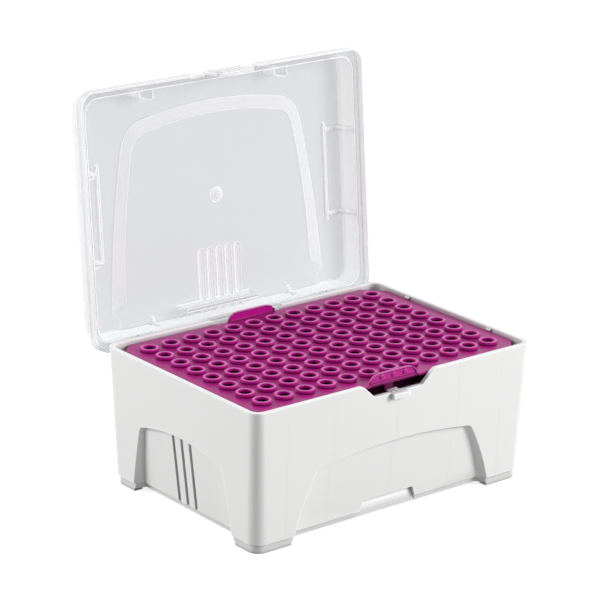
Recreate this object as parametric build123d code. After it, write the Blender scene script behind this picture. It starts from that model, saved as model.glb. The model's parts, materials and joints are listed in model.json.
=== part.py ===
"""Box of pipette tips: a moulded tub, a tray with 96 tip collars and a hinged clear lid.

Everything is modelled in the box's own frame: +X along the long side, -Y to the front, +Z up,
the floor under the feet at Z = 0 and the middle of the tub at X = Y = 0. The lid is modelled
shut and then swung open about its hinge. Before export the three pieces are moved together, so
that the origin is the bottom centre of the whole open box. Sizes are in millimetres.
"""
from build123d import *
import os
from math import atan2, cos, degrees, radians, sin, tan

# ---------------------------------------------------------------- driving dimensions
# the grid of tip positions, which the ANSI/SLAS 96-well layout fixes
PITCH = 9.0
COLUMNS = 12
ROWS = 8

# the tub
BASE_LENGTH = 121.0
BASE_DEPTH = 85.0
BASE_HEIGHT = 50.25
WALL = 1.5
WALL_AT_FLOOR = 2.3
FLOOR = 1.5
DRAFT_INSET = 1.54
RIM_CORNER = 4.0
BOTTOM_CORNER = 4.8

# the plinth and its four feet
FOOT_HEIGHT = 3.25
FOOT_INSET = 0.85
FOOT_WIDTH = 3.4
FOOT_INNER_CORNER = 1.5
FLOOR_LIFT = 1.2

# arched recess in each long wall: half widths and heights of its outline, and its depth
LONG_LEG_BOTTOM = 43.2
LONG_LEG_TOP = 34.6
LONG_LEG_TOP_HEIGHT = 24.6
LONG_LEG_BOW = 1.7
LONG_CROWN_START = 31.0
LONG_CROWN_HEIGHT = 28.4
LONG_CROWN_DROP = 2.3
LONG_DEPTH_TOP = 2.0
LONG_DEPTH_BOTTOM = 3.2
LONG_SIDE_DRAFT = 28.0

# arched recess in each short wall
SHORT_LEG_BOTTOM = 28.8
SHORT_LEG_TOP = 23.9
SHORT_LEG_TOP_HEIGHT = 24.0
SHORT_LEG_BOW = 0.4
SHORT_CROWN_START = 21.4
SHORT_CROWN_HEIGHT = 29.2
SHORT_CROWN_DROP = 2.8
SHORT_DEPTH_TOP = 1.9
SHORT_DEPTH_BOTTOM = 3.7
SHORT_SIDE_DRAFT = 15.0

# grip grooves in the short recesses and finger notch under the long ones
GROOVE_COUNT = 3
GROOVE_PITCH = 4.75
GROOVE_WIDTH = 2.4
GROOVE_DEPTH = 0.8
GROOVE_OFFSET = 0.7
NOTCH_HALF_BOTTOM = 13.8
NOTCH_HALF_TOP = 10.8
NOTCH_TOP = 7.0
NOTCH_DEPTH = 1.2

# notches in the front and rear rim, for the tray's tabs
RIM_NOTCH_HALF_TOP = 15.6
RIM_NOTCH_HALF_BOTTOM = 10.4
RIM_NOTCH_DEPTH = 4.85
RIM_NOTCH_CORNER = 1.2
RIM_NOTCH_SHOULDER = 2.4

# catch under the front notch, and the two prongs beside it
CATCH_WIDTH = 6.9
CATCH_HEIGHT = 1.8
CATCH_REACH = 1.8
CATCH_CHAMFER = 0.4
CATCH_DROP = 0.1
PRONG_PITCH = 2.05
PRONG_THICKNESS = 0.7
PRONG_REACH = 1.85
PRONG_HEIGHT = 1.35
PRONG_RISE = 0.15

# the tray
TRAY_GAP = 0.4
TRAY_THICKNESS = 1.0
TRAY_TOP_DROP = 1.3
TRAY_CHAMFER = 6.6
COLLAR_OUTER = 6.5
COLLAR_INNER = 4.5
COLLAR_HEIGHT = 1.4
TRAY_RIB_HEIGHT = 4.0
TRAY_RIB_THICKNESS = 1.2
TRAY_RIB_GAP = 0.6
TAB_HALF_WIDTH = 10.4
TAB_HALF_TOP = 5.2
TAB_THICKNESS = 1.2
TAB_HEIGHT = 3.4
TAB_OFFSET = -0.4
TAB_SET_BACK = 0.95
TAB_BUMP_RADIUS = 0.9
TAB_BUMP_PITCH = 5.05
TAB_BUMP_PROUD = 0.4
TAB_BUMP_LEVEL = 1.75
TAB_RIM = 0.7
TAB_RIM_PROUD = 0.3
CLIP_LENGTH = 3.6
CLIP_THICKNESS = 1.1
CLIP_GAP = 0.3
CLIP_MARGIN = 0.9

# the tray's seat in the tub: ribs under its edge and nubs over it
SEAT_RIB_THICKNESS = 1.2
SEAT_RIB_REACH = 2.2
SEAT_RIBS_LONG = (-46.6, -27.0, -0.9, 0.9, 27.0, 46.6)
SEAT_RIBS_SHORT = (-31.0, -10.0, 10.0, 31.0)
NUB_SPACING = 44.0
NUB_LENGTH = 2.2
NUB_REACH = 0.9
NUB_LIP = 0.4
NUB_HEIGHT = 1.5
NUB_GAP = 0.15

# the lid
LID_WALL = 1.1
SKIRT_WALL = 0.8
LID_GAP = 0.25
SKIRT_DEPTH = 3.6
FLANGE_LEVEL = 2.6
FLANGE_GAP = 0.1
SKIRT_CORNER = 6.0
SKIRT_CORNER_GAP = 0.5
CAVITY_INSET = 2.4
CAVITY_CORNER = 5.3
CAVITY_DEPTH = 10.65
PANEL_EDGE_RADIUS = 2.2
CAVITY_EDGE_RADIUS = 1.1
REAR_OVERHANG = 4.7
HINGE_LINE_INSET = 1.8

# arch pressed inwards in the lid's panel
ARCH_HALF_HINGE = 47.3
ARCH_HALF_MIDDLE = 44.4
ARCH_HALF_SHOULDER = 39.6
ARCH_HALF_TOP = 30.5
ARCH_MIDDLE = 32.0
ARCH_SHOULDER = 61.5
ARCH_TOP_START = 71.6
ARCH_CROWN = 74.6
ARCH_BAND_SIDE = 4.0
ARCH_BAND_TOP = 4.4
ARCH_PRESS = 0.55

# small forms inside the lid
LID_RIB_COUNT = 5
LID_RIB_PITCH = 4.03
LID_RIB_WIDTH = 2.6
LID_RIB_TOP = 21.6
LID_RIB_DEPTH = 0.7
GATE_RADIUS = 2.6
GATE_HEIGHT = 0.9
GATE_PLACE = 40.4
RAIL_HALF_SPACING = 50.1
RAIL_THICKNESS = 1.0
RAIL_HEIGHT = 0.9
RAIL_START = 24.6
RAIL_END = 56.0
RAIL_OVERRUN = 2.7
RAIL_UNDERRUN = 1.9
FIN_THICKNESS = 0.9
FIN_REACH = 3.8
FIN_TAPER = 0.6
FIN_TOE = 1.8
HINGE_FIN_SPACING = 61.0
HINGE_FIN_HEIGHT = 3.4
HINGE_FIN_DEPTH = 5.5
HINGE_FIN_STEP = 2.2
EDGE_TAB_SPACING = 58.7
EDGE_TAB_OFFSET = -2.9
EDGE_TAB_WIDTH = 6.0
EDGE_TAB_DROP = 2.6
EDGE_TAB_SLANT = 1.2
EDGE_TAB_START = 1.2
SHELF_LEFT = -19.5
SHELF_RIGHT = 12.5
SHELF_LEVEL = 4.5
SHELF_THICKNESS = 1.5
SHELF_START = 1.6

# latch tongue of the lid, with a window that takes the catch
TONGUE_HALF_WIDTH = 8.0
TONGUE_THICKNESS = 0.95
TONGUE_BAR = 1.1
LATCH_GAP = 0.3
LATCH_RELIEF_HALF = 13.5
LATCH_TRIM = 1.6

# the hinge
OPEN_ANGLE = 95.0
HINGE_BACK = 3.4
HINGE_DROP = 2.8
HINGE_SPACING = 84.0
PIN_RADIUS = 1.0
PIN_GAP = 0.15
PIN_SPAN = 8.8
LUG_WIDTH = 4.6
LUG_WALL = 1.1
LUG_MOUTH = 100.0
LUG_MOUTH_LEAN = 45.0
LUG_SIDE_GAP = 0.9
LUG_GUSSET = 4.2
WEB_THICKNESS = 1.2
WEB_RADIUS = 1.6
STOP_SPACING = 60.0
STOP_WIDTH = 1.6
STOP_HEIGHT = 1.3
STOP_GAP = 0.15

# ---------------------------------------------------------------- worked out from them
HALF_LENGTH = BASE_LENGTH / 2
HALF_DEPTH = BASE_DEPTH / 2
DRAFT_SLOPE = DRAFT_INSET / (BASE_HEIGHT - FOOT_HEIGHT)
FLOOR_TOP = FLOOR_LIFT + FLOOR
TRAY_TOP = BASE_HEIGHT - TRAY_TOP_DROP
TRAY_UNDERSIDE = TRAY_TOP - TRAY_THICKNESS
NOTCH_FLOOR = BASE_HEIGHT - RIM_NOTCH_DEPTH
RIM_LEVEL = BASE_HEIGHT + FLANGE_GAP - FLANGE_LEVEL
SKIRT_HALF_LENGTH = HALF_LENGTH + LID_GAP + SKIRT_WALL
SKIRT_FRONT = -(HALF_DEPTH + LID_GAP + SKIRT_WALL)
SKIRT_REAR = HALF_DEPTH + REAR_OVERHANG + SKIRT_WALL
CAVITY_HALF_LENGTH = SKIRT_HALF_LENGTH - SKIRT_WALL - CAVITY_INSET
CAVITY_FRONT = SKIRT_FRONT + SKIRT_WALL + CAVITY_INSET
CAVITY_REAR = SKIRT_REAR - SKIRT_WALL - CAVITY_INSET
CAVITY_TOP = RIM_LEVEL + CAVITY_DEPTH
LID_TOP = CAVITY_TOP + LID_WALL
FLANGE_UNDER = RIM_LEVEL + FLANGE_LEVEL
FLANGE_TOP = RIM_LEVEL + SKIRT_DEPTH
HINGE_Y = HALF_DEPTH + HINGE_BACK
HINGE_Z = BASE_HEIGHT - HINGE_DROP
CATCH_TOP = NOTCH_FLOOR - CATCH_DROP
CATCH_FACE = -HALF_DEPTH + DRAFT_SLOPE * (BASE_HEIGHT - CATCH_TOP)
PRONG_TIP = CATCH_FACE + WALL + PRONG_REACH
PRONG_PLACE = -CATCH_WIDTH / 2 + 1.5 * PRONG_THICKNESS
BIG = 2 * BASE_LENGTH
PAST = 1.0      # how far a cutter reaches past the surface that it cuts


def wall_inset(height):
    """How far the drafted outer wall has moved in from the rim at this height."""
    return DRAFT_SLOPE * (BASE_HEIGHT - height)


def block(x_range, y_range, z_range):
    """A plain block between two values on each axis."""
    size = [high - low for low, high in (x_range, y_range, z_range)]
    middle = [(high + low) / 2 for low, high in (x_range, y_range, z_range)]
    return Pos(*middle) * Box(*size)


def tapered(length, depth, radius, level, top_length, top_depth, top_radius, top_level):
    """A solid with rounded rectangular ends of two sizes."""
    lower = Pos(0, 0, level) * RectangleRounded(length, depth, radius)
    upper = Pos(0, 0, top_level) * RectangleRounded(top_length, top_depth, top_radius)
    return loft([lower, upper], ruled=True)


def flipped(point):
    """The same point on the other side of the middle."""
    return Vector(-point.X, point.Y)


# ---------------------------------------------------------------- the tub
def arch_outline(leg_bottom, leg_top, leg_height, bow, crown_start, crown_height, crown_drop, grow):
    """Half-round-shouldered arch, standing on the plane's x axis, grown outwards by a wall."""
    bottom = -2 * FOOT_HEIGHT
    slope = (leg_bottom - leg_top) / leg_height
    foot = Vector(leg_bottom + grow + slope * -bottom, bottom)
    shoulder = Vector(leg_top + grow, leg_height + grow * 0.5)
    middle = (foot + shoulder) / 2 + Vector(bow, 0)
    start = Vector(crown_start + grow * 0.5, crown_height + grow - crown_drop)
    crown = Vector(0, crown_height + grow)
    edges = [
        ThreePointArc(foot, middle, shoulder),
        Spline(shoulder, start, tangents=[(-slope * 1.4, 1), (-1, 0.12)]),
        ThreePointArc(start, crown, flipped(start)),
        Spline(flipped(start), flipped(shoulder), tangents=[(-1, -0.12), (-slope * 1.4, -1)]),
        ThreePointArc(flipped(shoulder), flipped(middle), flipped(foot)),
        Line(flipped(foot), foot),
    ]
    return make_face(edges)


def recess(side, shift=0.0, grow=0.0):
    """Cutter of one wall's arched recess; its panel leans inwards towards the bottom.

    side is "front", "rear", "left" or "right"; shift moves the panel further in, and grow
    widens the outline as well, for the material that has to stay behind the panel.
    """
    long_side = side in ("front", "rear")
    turn = {"front": 0, "right": 90, "rear": 180, "left": 270}[side]
    if long_side:
        half, draft = HALF_DEPTH, LONG_SIDE_DRAFT
        top, bottom, level = LONG_DEPTH_TOP, LONG_DEPTH_BOTTOM, LONG_LEG_TOP_HEIGHT
        shape = (LONG_LEG_BOTTOM, LONG_LEG_TOP, LONG_LEG_TOP_HEIGHT, LONG_LEG_BOW,
                 LONG_CROWN_START, LONG_CROWN_HEIGHT, LONG_CROWN_DROP)
    else:
        half, draft = HALF_LENGTH, SHORT_SIDE_DRAFT
        top, bottom, level = SHORT_DEPTH_TOP, SHORT_DEPTH_BOTTOM, SHORT_LEG_TOP_HEIGHT
        shape = (SHORT_LEG_BOTTOM, SHORT_LEG_TOP, SHORT_LEG_TOP_HEIGHT, SHORT_LEG_BOW,
                 SHORT_CROWN_START, SHORT_CROWN_HEIGHT, SHORT_CROWN_DROP)
    inset_top = wall_inset(level) + top + shift
    inset_bottom = wall_inset(FOOT_HEIGHT) + bottom + shift
    faces = []
    for inward in (-PAST, inset_bottom + 2 * PAST):
        plane = Plane(origin=(0, -half + inward, 0), x_dir=(1, 0, 0), z_dir=(0, -1, 0))
        faces.append(plane * arch_outline(*shape, grow - inward * tan(radians(draft))))
    cutter = loft(faces, ruled=True)
    lean = degrees(atan2(inset_bottom - inset_top, level - FOOT_HEIGHT))
    behind = Pos(0, BIG / 2, 0) * Box(BIG, BIG, BIG)
    behind = Pos(0, -half + inset_bottom, FOOT_HEIGHT) * Rot(lean, 0, 0) * behind
    return Rot(0, 0, turn) * (cutter - behind)


def grip_grooves(side):
    """Saw-tooth grooves that run down a short wall's recess panel."""
    inset_top = wall_inset(SHORT_LEG_TOP_HEIGHT) + SHORT_DEPTH_TOP
    inset_bottom = wall_inset(FOOT_HEIGHT) + SHORT_DEPTH_BOTTOM
    lean = atan2(inset_bottom - inset_top, SHORT_LEG_TOP_HEIGHT - FOOT_HEIGHT)
    up = Vector(0, -sin(lean), cos(lean))
    foot = Vector(0, -HALF_LENGTH + inset_bottom, FOOT_HEIGHT)
    tooth = Plane(origin=foot - up * 2 * FOOT_HEIGHT, x_dir=(1, 0, 0), z_dir=up)
    length = SHORT_CROWN_HEIGHT + 3 * FOOT_HEIGHT
    grooves = Part()
    for index in range(GROOVE_COUNT):
        middle = (index - (GROOVE_COUNT - 1) / 2) * GROOVE_PITCH - GROOVE_OFFSET
        left, right = middle - GROOVE_WIDTH / 2, middle + GROOVE_WIDTH / 2
        profile = Polygon((left, -PAST), (right, -PAST), (right, 0), (left, GROOVE_DEPTH), align=None)
        grooves += extrude(tooth * profile, amount=length)
    grooves = Rot(0, 0, {"right": 90, "left": 270}[side]) * grooves
    return grooves & recess(side, shift=GROOVE_DEPTH)


def finger_notch(side):
    """Trapezium cut a little deeper into the foot of a long wall's recess."""
    inset = wall_inset(FOOT_HEIGHT) + LONG_DEPTH_BOTTOM + NOTCH_DEPTH
    outline = Polygon((-NOTCH_HALF_BOTTOM, -PAST), (NOTCH_HALF_BOTTOM, -PAST),
                      (NOTCH_HALF_TOP, NOTCH_TOP), (-NOTCH_HALF_TOP, NOTCH_TOP), align=None)
    plane = Plane(origin=(0, -HALF_DEPTH + inset, 0), x_dir=(1, 0, 0), z_dir=(0, -1, 0))
    return Rot(0, 0, {"front": 0, "rear": 180}[side]) * extrude(plane * outline, amount=2 * inset)


def rim_notch(side):
    """Trapezium cut through the rim, with rounded lower corners."""
    top = BASE_HEIGHT + PAST
    wide = 2 * RIM_NOTCH_HALF_TOP
    outline = Polygon((-RIM_NOTCH_HALF_BOTTOM, NOTCH_FLOOR), (RIM_NOTCH_HALF_BOTTOM, NOTCH_FLOOR),
                      (RIM_NOTCH_HALF_TOP, BASE_HEIGHT), (wide, BASE_HEIGHT), (wide, top), (-wide, top),
                      (-wide, BASE_HEIGHT), (-RIM_NOTCH_HALF_TOP, BASE_HEIGHT), align=None)
    outline = fillet(outline.vertices().sort_by(Axis.Y)[:2], RIM_NOTCH_CORNER)
    shoulders = [corner for corner in outline.vertices()
                 if abs(corner.Y - BASE_HEIGHT) < RIM_NOTCH_CORNER / 2 and abs(corner.X) < wide - PAST]
    outline = fillet(shoulders, RIM_NOTCH_SHOULDER)
    plane = Plane(origin=(0, -HALF_DEPTH + 2 * WALL, 0), x_dir=(1, 0, 0), z_dir=(0, -1, 0))
    return Rot(0, 0, {"front": 0, "rear": 180}[side]) * extrude(plane * outline, amount=4 * WALL)


def tub_shell():
    """Drafted walls with their recesses, plinth, feet and floor."""
    low_length = BASE_LENGTH - 2 * DRAFT_INSET
    low_depth = BASE_DEPTH - 2 * DRAFT_INSET
    upper = tapered(low_length, low_depth, BOTTOM_CORNER, FOOT_HEIGHT,
                    BASE_LENGTH, BASE_DEPTH, RIM_CORNER, BASE_HEIGHT)
    plinth_length = low_length - 2 * FOOT_INSET
    plinth_depth = low_depth - 2 * FOOT_INSET
    plinth = RectangleRounded(plinth_length, plinth_depth, BOTTOM_CORNER - FOOT_INSET)
    plinth = extrude(plinth, amount=FOOT_HEIGHT)
    sides = ("front", "rear", "left", "right")
    for side in sides:
        upper -= recess(side)
        plinth -= recess(side, shift=FOOT_INSET)
    inner = RectangleRounded(plinth_length - 2 * FOOT_WIDTH, plinth_depth - 2 * FOOT_WIDTH, FOOT_INNER_CORNER)
    between_feet = inner + Rectangle(2 * LONG_LEG_BOTTOM, BIG) + Rectangle(BIG, 2 * SHORT_LEG_BOTTOM)
    shell = upper + (plinth - extrude(between_feet, amount=FLOOR_LIFT))
    inner_corner = RIM_CORNER - WALL / 2
    mouth_length, mouth_depth = BASE_LENGTH - 2 * WALL, BASE_DEPTH - 2 * WALL
    cavity = tapered(low_length - 2 * WALL_AT_FLOOR, low_depth - 2 * WALL_AT_FLOOR,
                     BOTTOM_CORNER - WALL_AT_FLOOR, FLOOR_TOP,
                     mouth_length, mouth_depth, inner_corner, BASE_HEIGHT)
    mouth = Pos(0, 0, BASE_HEIGHT) * RectangleRounded(mouth_length, mouth_depth, inner_corner)
    cavity += extrude(mouth, amount=PAST)
    for side in sides:
        cavity -= recess(side, shift=WALL, grow=WALL)
    for side in ("front", "rear"):
        shell -= finger_notch(side)
    shell -= cavity
    for side in ("left", "right"):
        shell -= grip_grooves(side)
    return shell


def tray_seat():
    """Ribs that stand under the tray's edge all round."""
    ribs = Part()
    span = (FLOOR_TOP - FLOOR / 2, TRAY_UNDERSIDE)
    half = SEAT_RIB_THICKNESS / 2
    long_face = HALF_DEPTH - WALL
    short_face = HALF_LENGTH - WALL
    for place in SEAT_RIBS_LONG:
        for sign in (-1, 1):
            reach = sorted((sign * (long_face - SEAT_RIB_REACH), sign * (long_face + WALL / 2)))
            ribs += block((place - half, place + half), reach, span)
    for place in SEAT_RIBS_SHORT:
        for sign in (-1, 1):
            reach = sorted((sign * (short_face - SEAT_RIB_REACH), sign * (short_face + WALL / 2)))
            ribs += block(reach, (place - half, place + half), span)
    for side in ("front", "rear", "left", "right"):
        ribs -= recess(side, shift=WALL / 2)
    return ribs


def within_walls(part):
    """Keep only what lies inside the tub's drafted outer surface."""
    low_length = BASE_LENGTH - 2 * DRAFT_INSET - WALL
    low_depth = BASE_DEPTH - 2 * DRAFT_INSET - WALL
    return part & tapered(low_length, low_depth, BOTTOM_CORNER, 0,
                          BASE_LENGTH - WALL, BASE_DEPTH - WALL, RIM_CORNER, BASE_HEIGHT)


def tray_nubs():
    """Snap nubs on the short walls that hold the tray's edge down."""
    nubs = Part()
    level = TRAY_TOP + NUB_GAP
    face = HALF_LENGTH - WALL
    root = -face - WALL / 2
    tip = -face + NUB_REACH
    profile = Polygon((root, level), (tip, level), (tip, level + NUB_LIP), (root, level + NUB_HEIGHT),
                      align=None)
    for place in (-NUB_SPACING / 2, NUB_SPACING / 2):
        plane = Plane(origin=(0, place + NUB_LENGTH / 2, 0), x_dir=(1, 0, 0), z_dir=(0, -1, 0))
        nub = extrude(plane * profile, amount=NUB_LENGTH)
        nubs += nub + mirror(nub, Plane.YZ)
    return nubs


def catch_and_prongs():
    """Block that the lid's tongue snaps over, and two prongs that reach in below the tray's tab."""
    outer = CATCH_FACE
    low = CATCH_TOP - CATCH_HEIGHT
    tip = outer - CATCH_REACH
    profile = Polygon((outer + WALL / 2, CATCH_TOP), (tip + CATCH_CHAMFER, CATCH_TOP),
                      (tip, CATCH_TOP - CATCH_CHAMFER), (tip, low), (outer + WALL / 2, low), align=None)
    plane = Plane(origin=(-CATCH_WIDTH / 2, 0, 0), x_dir=(0, 1, 0), z_dir=(1, 0, 0))
    part = extrude(plane * profile, amount=CATCH_WIDTH)
    top = NOTCH_FLOOR + PRONG_RISE
    for place in (PRONG_PLACE, PRONG_PLACE + PRONG_PITCH):
        part += block((place - PRONG_THICKNESS / 2, place + PRONG_THICKNESS / 2),
                      (outer, PRONG_TIP), (top - PRONG_HEIGHT, top))
    return part


def hinge_lugs():
    """Open hooks on the rear wall that the lid's pins snap into, each on a gusset."""
    lugs = Part()
    inner = PIN_RADIUS + PIN_GAP
    outer = inner + LUG_WALL
    wall = HALF_DEPTH - WALL / 2
    for sign in (-1, 1):
        start = sign * HINGE_SPACING / 2 - LUG_WIDTH / 2
        plane = Plane(origin=(start, 0, 0), x_dir=(0, 1, 0), z_dir=(1, 0, 0))
        arm = Polygon((wall, HINGE_Z - outer - LUG_GUSSET), (HINGE_Y, HINGE_Z - outer),
                      (HINGE_Y, HINGE_Z + outer * 0.5), (wall, HINGE_Z + outer * 0.5), align=None)
        hook = arm + Pos(HINGE_Y, HINGE_Z) * Circle(outer)
        hook -= Pos(HINGE_Y, HINGE_Z) * Circle(inner)
        reach = 3 * outer
        half_mouth = radians(LUG_MOUTH / 2)
        lean = radians(LUG_MOUTH_LEAN)
        mouth = Polygon((0, 0), (reach * cos(lean - half_mouth), reach * sin(lean - half_mouth)),
                        (reach * cos(lean), reach * sin(lean)),
                        (reach * cos(lean + half_mouth), reach * sin(lean + half_mouth)), align=None)
        hook -= Pos(HINGE_Y, HINGE_Z) * mouth
        lugs += extrude(plane * hook, amount=LUG_WIDTH)
    return lugs


def open_stops():
    """Short ribs on the rear wall that the open lid's rear skirt comes to rest against."""
    stops = Part()
    skirt_edge = RIM_LEVEL - HINGE_Z
    below = SKIRT_REAR - SKIRT_WALL - HINGE_Y
    turn = radians(OPEN_ANGLE - 90)
    face = HINGE_Y + skirt_edge * cos(turn) - (below + SKIRT_WALL) * sin(turn) - STOP_GAP
    top = HINGE_Z - below - SKIRT_WALL * 0.2
    for sign in (-1, 1):
        middle = sign * STOP_SPACING / 2
        stops += block((middle - STOP_WIDTH / 2, middle + STOP_WIDTH / 2),
                       (HALF_DEPTH - WALL / 2, face), (top - STOP_HEIGHT, top))
    return stops


def make_base():
    """The tub in one piece."""
    base = tub_shell() + within_walls(tray_seat())
    for side in ("front", "rear"):
        base -= rim_notch(side)
    base += within_walls(tray_nubs())
    return base + catch_and_prongs() + hinge_lugs() + open_stops()


# ---------------------------------------------------------------- the tray
def tray_tab(front):
    """Upright finger tab with a raised border on its outer or inner face; the front one has three bumps."""
    edge = HALF_DEPTH - WALL - TAB_SET_BACK
    level = TRAY_UNDERSIDE
    height = TAB_HEIGHT + TRAY_THICKNESS

    def outline(shrink, foot):
        half, top = TAB_HALF_WIDTH - shrink, TAB_HALF_TOP
        peak = height - shrink
        bend = max(foot, TRAY_THICKNESS) + shrink
        return make_face([
            Line((-half, foot), (half, foot)),
            Line((half, foot), (half, bend)),
            Spline((half, bend), (top, peak), tangents=[(-0.25, 1), (-1, 0)]),
            Line((top, peak), (-top, peak)),
            Spline((-top, peak), (-half, bend), tangents=[(-1, 0), (-0.25, -1)]),
            Line((-half, bend), (-half, foot)),
        ])

    def upright(inward):
        return Plane(origin=(0, -edge + inward, level), x_dir=(1, 0, 0), z_dir=(0, -1, 0))

    tab = extrude(upright(0) * outline(0, 0), amount=-TAB_THICKNESS)
    if front:
        tab -= extrude(upright(TAB_RIM_PROUD) * outline(TAB_RIM, 0), amount=TAB_RIM_PROUD)
        radius = (TAB_BUMP_RADIUS ** 2 + TAB_BUMP_PROUD ** 2) / (2 * TAB_BUMP_PROUD)
        depth = -edge + TAB_RIM_PROUD - TAB_BUMP_PROUD + radius
        room = block((-BIG, BIG), (-BIG, -edge + TAB_THICKNESS / 2), (0, BIG))
        for index in (-1, 0, 1):
            tab += Pos(index * TAB_BUMP_PITCH, depth, TRAY_TOP + TAB_BUMP_LEVEL) * Sphere(radius) & room
    else:
        field = upright(TAB_THICKNESS - TAB_RIM_PROUD) * outline(TAB_RIM, TRAY_THICKNESS + TAB_RIM)
        tab -= extrude(field, amount=-TAB_RIM_PROUD)
    return Rot(0, 0, 0 if front else 180) * Pos(TAB_OFFSET, 0, 0) * tab


def make_tray():
    """Plate with chamfered corners, the collars, stiffening ribs below, two tabs and a clip leg."""
    half_length = HALF_LENGTH - WALL - TRAY_GAP
    half_depth = HALF_DEPTH - WALL - TRAY_GAP
    outline = Rectangle(2 * half_length, 2 * half_depth)
    outline = chamfer(outline.vertices(), TRAY_CHAMFER)
    set_back = TAB_SET_BACK - TRAY_GAP
    for sign in (-1, 1):
        middle = (-sign * TAB_OFFSET, sign * (half_depth - set_back / 2))
        outline -= Pos(*middle) * Rectangle(2 * TAB_HALF_WIDTH, set_back)
    tray = extrude(Pos(0, 0, TRAY_UNDERSIDE) * outline, amount=TRAY_THICKNESS)
    places = GridLocations(PITCH, PITCH, COLUMNS, ROWS).locations
    collars = [Pos(0, 0, TRAY_TOP) * place * Circle(COLLAR_OUTER / 2) for place in places]
    tray += extrude(Sketch() + collars, amount=COLLAR_HEIGHT)
    inset = SEAT_RIB_REACH + TRAY_RIB_GAP
    border = offset(outline, -inset, kind=Kind.INTERSECTION)
    border -= offset(outline, -inset - TRAY_RIB_THICKNESS, kind=Kind.INTERSECTION)
    tray += extrude(Pos(0, 0, TRAY_UNDERSIDE) * border, amount=-TRAY_RIB_HEIGHT)
    holes = [Pos(0, 0, TRAY_UNDERSIDE) * place * Circle(COLLAR_INNER / 2) for place in places]
    tray -= extrude(Sketch() + holes, amount=TRAY_THICKNESS + COLLAR_HEIGHT)
    tray += tray_tab(front=True)
    tray += tray_tab(front=False)
    near = PRONG_TIP + CLIP_GAP
    clip = block((PRONG_PLACE - CLIP_MARGIN, PRONG_PLACE + PRONG_PITCH + CLIP_MARGIN),
                 (near, near + CLIP_THICKNESS),
                 (TRAY_UNDERSIDE - CLIP_LENGTH, TRAY_UNDERSIDE + TRAY_THICKNESS / 2))
    return tray + clip


# ---------------------------------------------------------------- the lid, modelled shut
def along(distance):
    """Y of a point this far from the hinge side's rim line, towards the free edge."""
    return CAVITY_REAR - HINGE_LINE_INSET - distance


def lid_block(grow, low, high, corner):
    """Rounded block over the lid's cavity, grown sideways by a wall or two."""
    front, rear = CAVITY_FRONT - grow, CAVITY_REAR + grow
    outline = RectangleRounded(2 * (CAVITY_HALF_LENGTH + grow), rear - front, corner)
    return extrude(Pos(0, (front + rear) / 2, low) * outline, amount=high - low)


def lid_shell():
    """Skirt, flange, walls and panel, all of one wall thickness."""
    outer = lid_block(LID_WALL, FLANGE_UNDER, LID_TOP, CAVITY_CORNER + LID_WALL)
    outer = fillet(outer.faces().sort_by(Axis.Z)[-1].edges(), PANEL_EDGE_RADIUS)
    skirt_grow = CAVITY_INSET + SKIRT_WALL
    outer += lid_block(skirt_grow, RIM_LEVEL, FLANGE_TOP, SKIRT_CORNER)
    cavity = lid_block(0, FLANGE_UNDER, CAVITY_TOP, CAVITY_CORNER)
    cavity = fillet(cavity.faces().sort_by(Axis.Z)[-1].edges(), CAVITY_EDGE_RADIUS)
    cavity += lid_block(CAVITY_INSET, RIM_LEVEL, FLANGE_UNDER, RIM_CORNER + SKIRT_CORNER_GAP)
    return outer - cavity


def arch_shape(shrink_side, shrink_top):
    """Outline of the pressed arch on the lid's panel."""
    base = CAVITY_REAR
    hinge = Vector(ARCH_HALF_HINGE - 1.5 * shrink_side, base)
    middle = Vector(ARCH_HALF_MIDDLE - 1.1 * shrink_side, along(ARCH_MIDDLE))
    shoulder = Vector(ARCH_HALF_SHOULDER - shrink_side, along(ARCH_SHOULDER - shrink_top * 0.2))
    start = Vector(ARCH_HALF_TOP - shrink_side * 0.4, along(ARCH_TOP_START - shrink_top))
    crown = Vector(0, along(ARCH_CROWN - shrink_top))
    return make_face([
        ThreePointArc(hinge, middle, shoulder),
        Spline(shoulder, start, tangents=[(-0.22, -1), (-1, -0.2)]),
        ThreePointArc(start, crown, flipped(start)),
        Spline(flipped(start), flipped(shoulder), tangents=[(-1, 0.2), (-0.22, 1)]),
        ThreePointArc(flipped(shoulder), flipped(middle), flipped(hinge)),
        Line(flipped(hinge), hinge),
    ])


def pressed_arch(level):
    """Field with sloping sides that lies a little inside the given level of the panel."""
    wide = Pos(0, 0, level) * arch_shape(0, 0)
    narrow = Pos(0, 0, level - ARCH_PRESS) * arch_shape(ARCH_BAND_SIDE, ARCH_BAND_TOP)
    return loft([wide, narrow], ruled=True)


def lid_ribs(grow):
    """Five round ribs with ball ends, pressed outwards in a row, running up from the hinge side."""
    radius = (LID_RIB_WIDTH ** 2 / 4 + LID_RIB_DEPTH ** 2) / (2 * LID_RIB_DEPTH)
    level = CAVITY_TOP - ARCH_PRESS + LID_RIB_DEPTH - radius
    end = along(LID_RIB_TOP) + LID_RIB_WIDTH / 2
    length = CAVITY_REAR - end
    ribs = Part()
    for index in range(LID_RIB_COUNT):
        x = (index - (LID_RIB_COUNT - 1) / 2) * LID_RIB_PITCH
        bar = Pos(x, end + length / 2, level) * Rot(90, 0, 0) * Cylinder(radius + grow, length)
        ribs += bar + Pos(x, end, level) * Sphere(radius + grow)
    return ribs


def gate_mark():
    """Shallow dome in the middle of the pressed field."""
    radius = (GATE_RADIUS ** 2 + GATE_HEIGHT ** 2) / (2 * GATE_HEIGHT)
    level = CAVITY_TOP - ARCH_PRESS
    ball = Pos(0, along(GATE_PLACE), level - GATE_HEIGHT + radius) * Sphere(radius)
    return ball & block((-BIG, BIG), (-BIG, BIG), (level - BASE_HEIGHT, level + LID_WALL / 2))


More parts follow.
